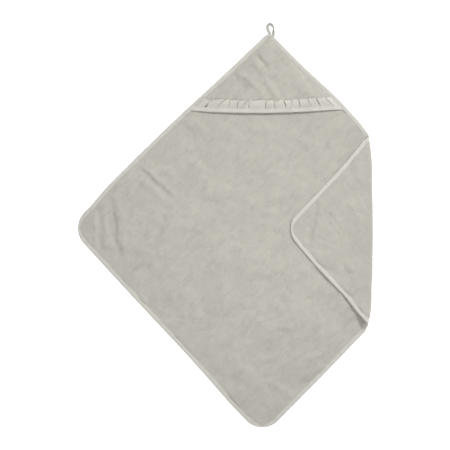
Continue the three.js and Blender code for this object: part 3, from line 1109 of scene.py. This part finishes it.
# One pleat across its fold line, folding back to the left under itself: shares of the pleat's depth, of
# its turn and of its groove to the right, and height in millimetres. Past the groove the cloth rises again.
PLEAT_PATH = [
    (-0.8, 0, 0, 3.7), (-0.3, 0, 0, 4.1), (0.2, 0, 0, 4.3), (0.5, 0.3, 0, 4.1), (0.5, 1.0, 0, 3.4),
    (0.5, 0.3, 0, 2.7), (0.2, 0, 0, 2.3), (-0.3, 0, 0, 2.0), (-0.5, -0.3, 0, 1.65), (-0.5, -1.0, 0, 1.05),
    (-0.5, -0.3, 0, 0.5), (-0.2, 0, 0, 0.3), (0.5, 0, 0, 0.3), (0.5, 1.0, 0.6, 0.3), (0.5, 1.0, 1.0, 0.7),
    (0.5, 1.0, 1.15, 2.0), (0.5, 1.0, 1.4, 3.0), (0.7, 1.2, 1.8, 3.5),
]


def rise_between(start, end, steps):
    """Columns after the start, up to the end, with their height changing softly. A column is (x, height)."""
    shares = [i / steps for i in range(1, steps + 1)]
    return [(start[0] + (end[0] - start[0]) * t, start[1] + (end[1] - start[1]) * smooth(t)) for t in shares]


def frill_columns(k, left, right):
    """The frill's columns from left to right. k goes from 0 at its foot to 1 at its top."""
    columns = [(0 * k + left, 0 * k + FRILL_ENDS)]
    for x, lean, curve, way, groove in PLEATS:
        path = PLEAT_PATH if way > 0 else [(-a, -t, -g, h) for a, t, g, h in reversed(PLEAT_PATH)]
        line = MM * (x + lean * (k - 0.5) + curve * 4 * k * (1 - k))
        depth = PLEAT * (1.1 - 0.35 * k)
        opening = 1.15 * groove * MM * (0.5 + 1.1 * k)
        along = [line + a * depth + t * TURN + g * opening for a, t, g, _ in path]
        steps = max(int((along[0].mean() - columns[-1][0].mean()) / FRILL_COLUMN), 1)
        columns += rise_between(columns[-1], (along[0], path[0][3]), steps)[:-1]
        columns += [(place, 0 * k + h) for place, (*_, h) in zip(along, path)]
    return columns + rise_between(columns[-1], (right, FRILL_ENDS), 8)


def frill_lip(x, k, flutes):
    """How the frill's top edge waves, and how each pleat draws it down."""
    lines = np.array([line + (lean + groove) / 2 for line, lean, _, _, groove in PLEATS]) * MM
    nearest = np.abs(x[..., None] - lines).min(-1)
    drawn = 3 * MM * bump(nearest, 0, 3.5 * MM)
    return (0.8 * MM * flutes(x * 1.7, 0 * x) - drawn) * step(k, 0.5, 0.5)


def make_frill(flutes):
    k = np.linspace(0, 1, FRILL_ROWS)
    up = FRILL_LOW + (FRILL_HIGH - FRILL_LOW) * k
    left, right = across(HEM_Y + 20 * MM, HEM_INSET)
    columns = frill_columns(k, left, right)
    x, layer = (np.stack([column[i] for column in columns]) for i in (0, 1))
    ups = np.broadcast_to(up, x.shape)
    flat = hood_place((x - left) / (right - left), ups + frill_lip(x, k, flutes), HEM_INSET)
    layers = layer * MM * (0.35 + 0.85 * step(k, 0, 0.65))
    wave = 0.4 * MM * (1 + flutes(x, ups * 0.3)) * step(k, 0.1, 0.9)
    base = hood_middle(flat, ups) + hood_half(flat, ups)
    points = lay(flat, base + FRILL_CLOTH / 2 + 0.1 * MM + layers + wave)
    steps = np.linalg.norm(np.diff(points[:, FRILL_ROWS // 2], axis=0), axis=-1)
    length = np.concatenate([[0], np.cumsum(steps)])
    uv = np.stack(np.broadcast_arrays(length[:, None], up[None, :]), -1).reshape(-1, 2)
    return points, uv, np.tile(hood_weights(flat).ravel(), 2), length[-1]


def thicken(name, points, thickness, uv):
    """A closed shell of even thickness round a grid of points."""
    along, side = np.gradient(points, axis=0), np.gradient(points, axis=1)
    normal = np.cross(along, side)
    normal /= np.maximum(np.linalg.norm(normal, axis=-1, keepdims=True), 1e-12)
    front = (points + normal * thickness / 2).reshape(-1, 3)
    back = (points - normal * thickness / 2).reshape(-1, 3)
    faces = grid_faces(*points.shape[:2])
    return shell(name, front, back, faces, open_edges(faces), uv)


frill_points, frill_uv, weights, frill_length = make_frill(Ripples(0.035, 24))
frill = thicken("frill", frill_points, FRILL_CLOTH, frill_uv)
finish_piece(frill, muslin, "frill", "hood_ruffle")
follow_hood(frill)


GATHERS_UP = 15.2 * MM  # up from the open side to the gathering thread


def gathering_stitches():
    count = int(0.38 / (2.4 * MM))
    spots = hood_place(np.linspace(0.01, 0.99, count + 1), GATHERS_UP, HEM_INSET)
    firsts, lasts, centres = seam(spots, 0.18)
    ups = np.full(count, GATHERS_UP)
    top = hood_middle(centres, ups) + hood_half(centres, ups) + 2.3 * MM
    flat, uvs, faces = stitches(firsts, lasts, top, 0.45 * MM, 0.35 * MM)
    return sewn("gathering_thread", flat, uvs, faces), hood_weights(flat[:, :2])


gathering, weights = gathering_stitches()
finish_piece(gathering, thread, "thread", "ruffle_gathering_thread")
follow_hood(gathering)


# ---- Hanging loop ----

# The loop's path, in millimetres, with how far the tape is turned on edge, in degrees, at each point.
LOOP_PATH = [
    (127.5, 526.0, 2.9, 0), (127.1, 532.7, 2.9, 0), (124.9, 541.1, 2.7, 0), (121.2, 549.5, 2.2, 5),
    (119.5, 557.0, 2.4, 8), (121.6, 563.2, 3.0, 15), (127.0, 565.2, 3.6, 25), (132.6, 561.8, 4.4, 50),
    (136.3, 554.5, 4.8, 72), (136.8, 548.5, 4.4, 60), (136.3, 541.1, 3.4, 20), (135.8, 532.7, 2.9, 0),
    (135.5, 526.0, 2.9, 0),
]
LOOP_WIDTH = 8.2 * MM
LOOP_THICKNESS = 1.1 * MM
LOOP_ROUNDING = 0.42 * MM


def spline(points, per_span):
    """A Catmull-Rom curve through points of any number of values."""
    points = np.array(points, float)
    ends = np.vstack([2 * points[0] - points[1], points, 2 * points[-1] - points[-2]])
    out = []
    for a, b, c, d in zip(ends, ends[1:], ends[2:], ends[3:]):
        for t in np.arange(per_span) / per_span:
            square, cube = 2 * a - 5 * b + 4 * c - d, 3 * b - a - 3 * c + d
            out.append(0.5 * (2 * b + (c - a) * t + square * t**2 + cube * t**3))
    return np.array(out + [points[-1]])


def loop_section():
    """The tape's section with its rounded corners, as places along its width and its thickness."""
    section = []
    for side_x, side_y, first in ((1, 1, 0), (-1, 1, 90), (-1, -1, 180), (1, -1, 270)):
        for angle in np.radians([first + 10, first + 45, first + 80]):
            wide = side_x * (LOOP_WIDTH / 2 - LOOP_ROUNDING) + LOOP_ROUNDING * math.cos(angle)
            thick = side_y * (LOOP_THICKNESS / 2 - LOOP_ROUNDING) + LOOP_ROUNDING * math.sin(angle)
            section.append((wide, thick))
    return section


def make_loop():
    path = spline(LOOP_PATH, 8)
    centre = path[:, :3] * MM
    turn = np.radians(path[:, 3:])
    tangent = np.gradient(centre, axis=0)
    tangent /= np.linalg.norm(tangent, axis=1, keepdims=True)
    level = np.cross((0, 0, 1), tangent)
    level /= np.linalg.norm(level, axis=1, keepdims=True)
    wide = level * np.cos(turn) + np.cross(tangent, level) * np.sin(turn)
    thin = np.cross(tangent, wide)
    section = loop_section()
    rings = np.stack([centre + wide * a + thin * b for a, b in section], 1)
    run = np.concatenate([[0], np.cumsum(np.linalg.norm(np.diff(centre, axis=0), axis=1))])
    around = np.arange(len(section)) * 1.4 * MM
    uv = np.stack(np.broadcast_arrays(run[:, None], around[None, :]), -1)
    return tube("loop_tape", rings, uv)


loop = make_loop()
finish_piece(loop, loop_tape, "hem_tape", "hanging_loop")
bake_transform(loop)


TACK_HALF = 0.9 * MM  # half the height of the bar tack


def bar_tack():
    """Close stitches side by side across the loop's ends."""
    low, high = node_box("loop_bar_tack")
    x = np.linspace(low[0], high[0] + 8 * MM, 12)
    y = (low[1] + high[1]) / 2 + 0 * x
    firsts = np.stack([x, y - TACK_HALF], -1)
    lasts = np.stack([x + 0.3 * MM, y + TACK_HALF], -1)
    return sewn("bar_tack", *stitches(firsts, lasts, 5.2 * MM + 0 * x, 0.7 * MM, 0.4 * MM))


tack = bar_tack()
finish_piece(tack, thread, "thread", "loop_bar_tack")
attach(tack, "towel")


# ---- Camera, light and floor ----

VIEW_WIDTH = 1.265  # metres across the picture
CAMERA_OVER = 0.008  # the level that the view's width is measured at
camera = bpy.data.objects.new("camera", bpy.data.cameras.new("camera"))
camera.data.sensor_width = 36
camera.data.lens = 100
camera.location = (0, 0, CAMERA_OVER + VIEW_WIDTH * camera.data.lens / camera.data.sensor_width)
camera.data.clip_end = 50
bpy.context.scene.collection.objects.link(camera)
bpy.context.scene.camera = camera


def area_light(name, place, size, power):
    """A round light that points at the middle of the towel."""
    data = bpy.data.lights.new(name, "AREA")
    data.shape = "DISK"
    data.size = size
    data.energy = power
    light = bpy.data.objects.new(name, data)
    light.location = place
    light.rotation_mode = "QUATERNION"
    light.rotation_quaternion = (-Vector(place)).to_track_quat("-Z", "Y")
    bpy.context.scene.collection.objects.link(light)


area_light("top", (0.08, -0.14, 1.2), 0.6, 4.6)
area_light("key", (1.9, 2.6, 3.0), 0.8, 104)
world = bpy.data.worlds.new("world")
world.use_nodes = True
world.node_tree.nodes["Background"].inputs["Color"].default_value = (1, 1, 1, 1)
world.node_tree.nodes["Background"].inputs["Strength"].default_value = 0.36
bpy.context.scene.world = world
bpy.context.scene.view_settings.view_transform = "Standard"


def white_finish(name, base, glow):
    finish = bpy.data.materials.new(name)
    finish.use_nodes = True
    shader = finish.node_tree.nodes["Principled BSDF"]
    shader.inputs["Base Color"].default_value = (base, base, base, 1)
    shader.inputs["Roughness"].default_value = 1
    shader.inputs["Emission Color"].default_value = (1, 1, 1, 1)
    shader.inputs["Emission Strength"].default_value = glow
    return finish


def stage_piece(name, mesh, finish):
    mesh.materials.append(finish)
    piece = bpy.data.objects.new(name, mesh)
    bpy.context.scene.collection.objects.link(piece)
    return piece


SPAN = 20  # metres from the middle of the floor to its edge, where the backdrop stands
floor_corners = [(-SPAN, -SPAN, 0), (SPAN, -SPAN, 0), (SPAN, SPAN, 0), (-SPAN, SPAN, 0)]
floor_mesh = bpy.data.meshes.new("floor")
floor_mesh.from_pydata(floor_corners, [], [(0, 1, 2, 3)])
stage_piece("floor", floor_mesh, white_finish("floor", 0.9, 0.6))

# A white dome for the views from low down. Only the camera sees it, so it doesn't change the light.
dome_mesh = bpy.data.meshes.new("backdrop")
bm = bmesh.new()
bmesh.ops.create_icosphere(bm, subdivisions=3, radius=SPAN)
bm.to_mesh(dome_mesh)
bm.free()
backdrop = stage_piece("backdrop", dome_mesh, white_finish("backdrop", 0, 1.2))
backdrop.visible_diffuse = False
backdrop.visible_glossy = False
backdrop.visible_transmission = False
backdrop.visible_shadow = False
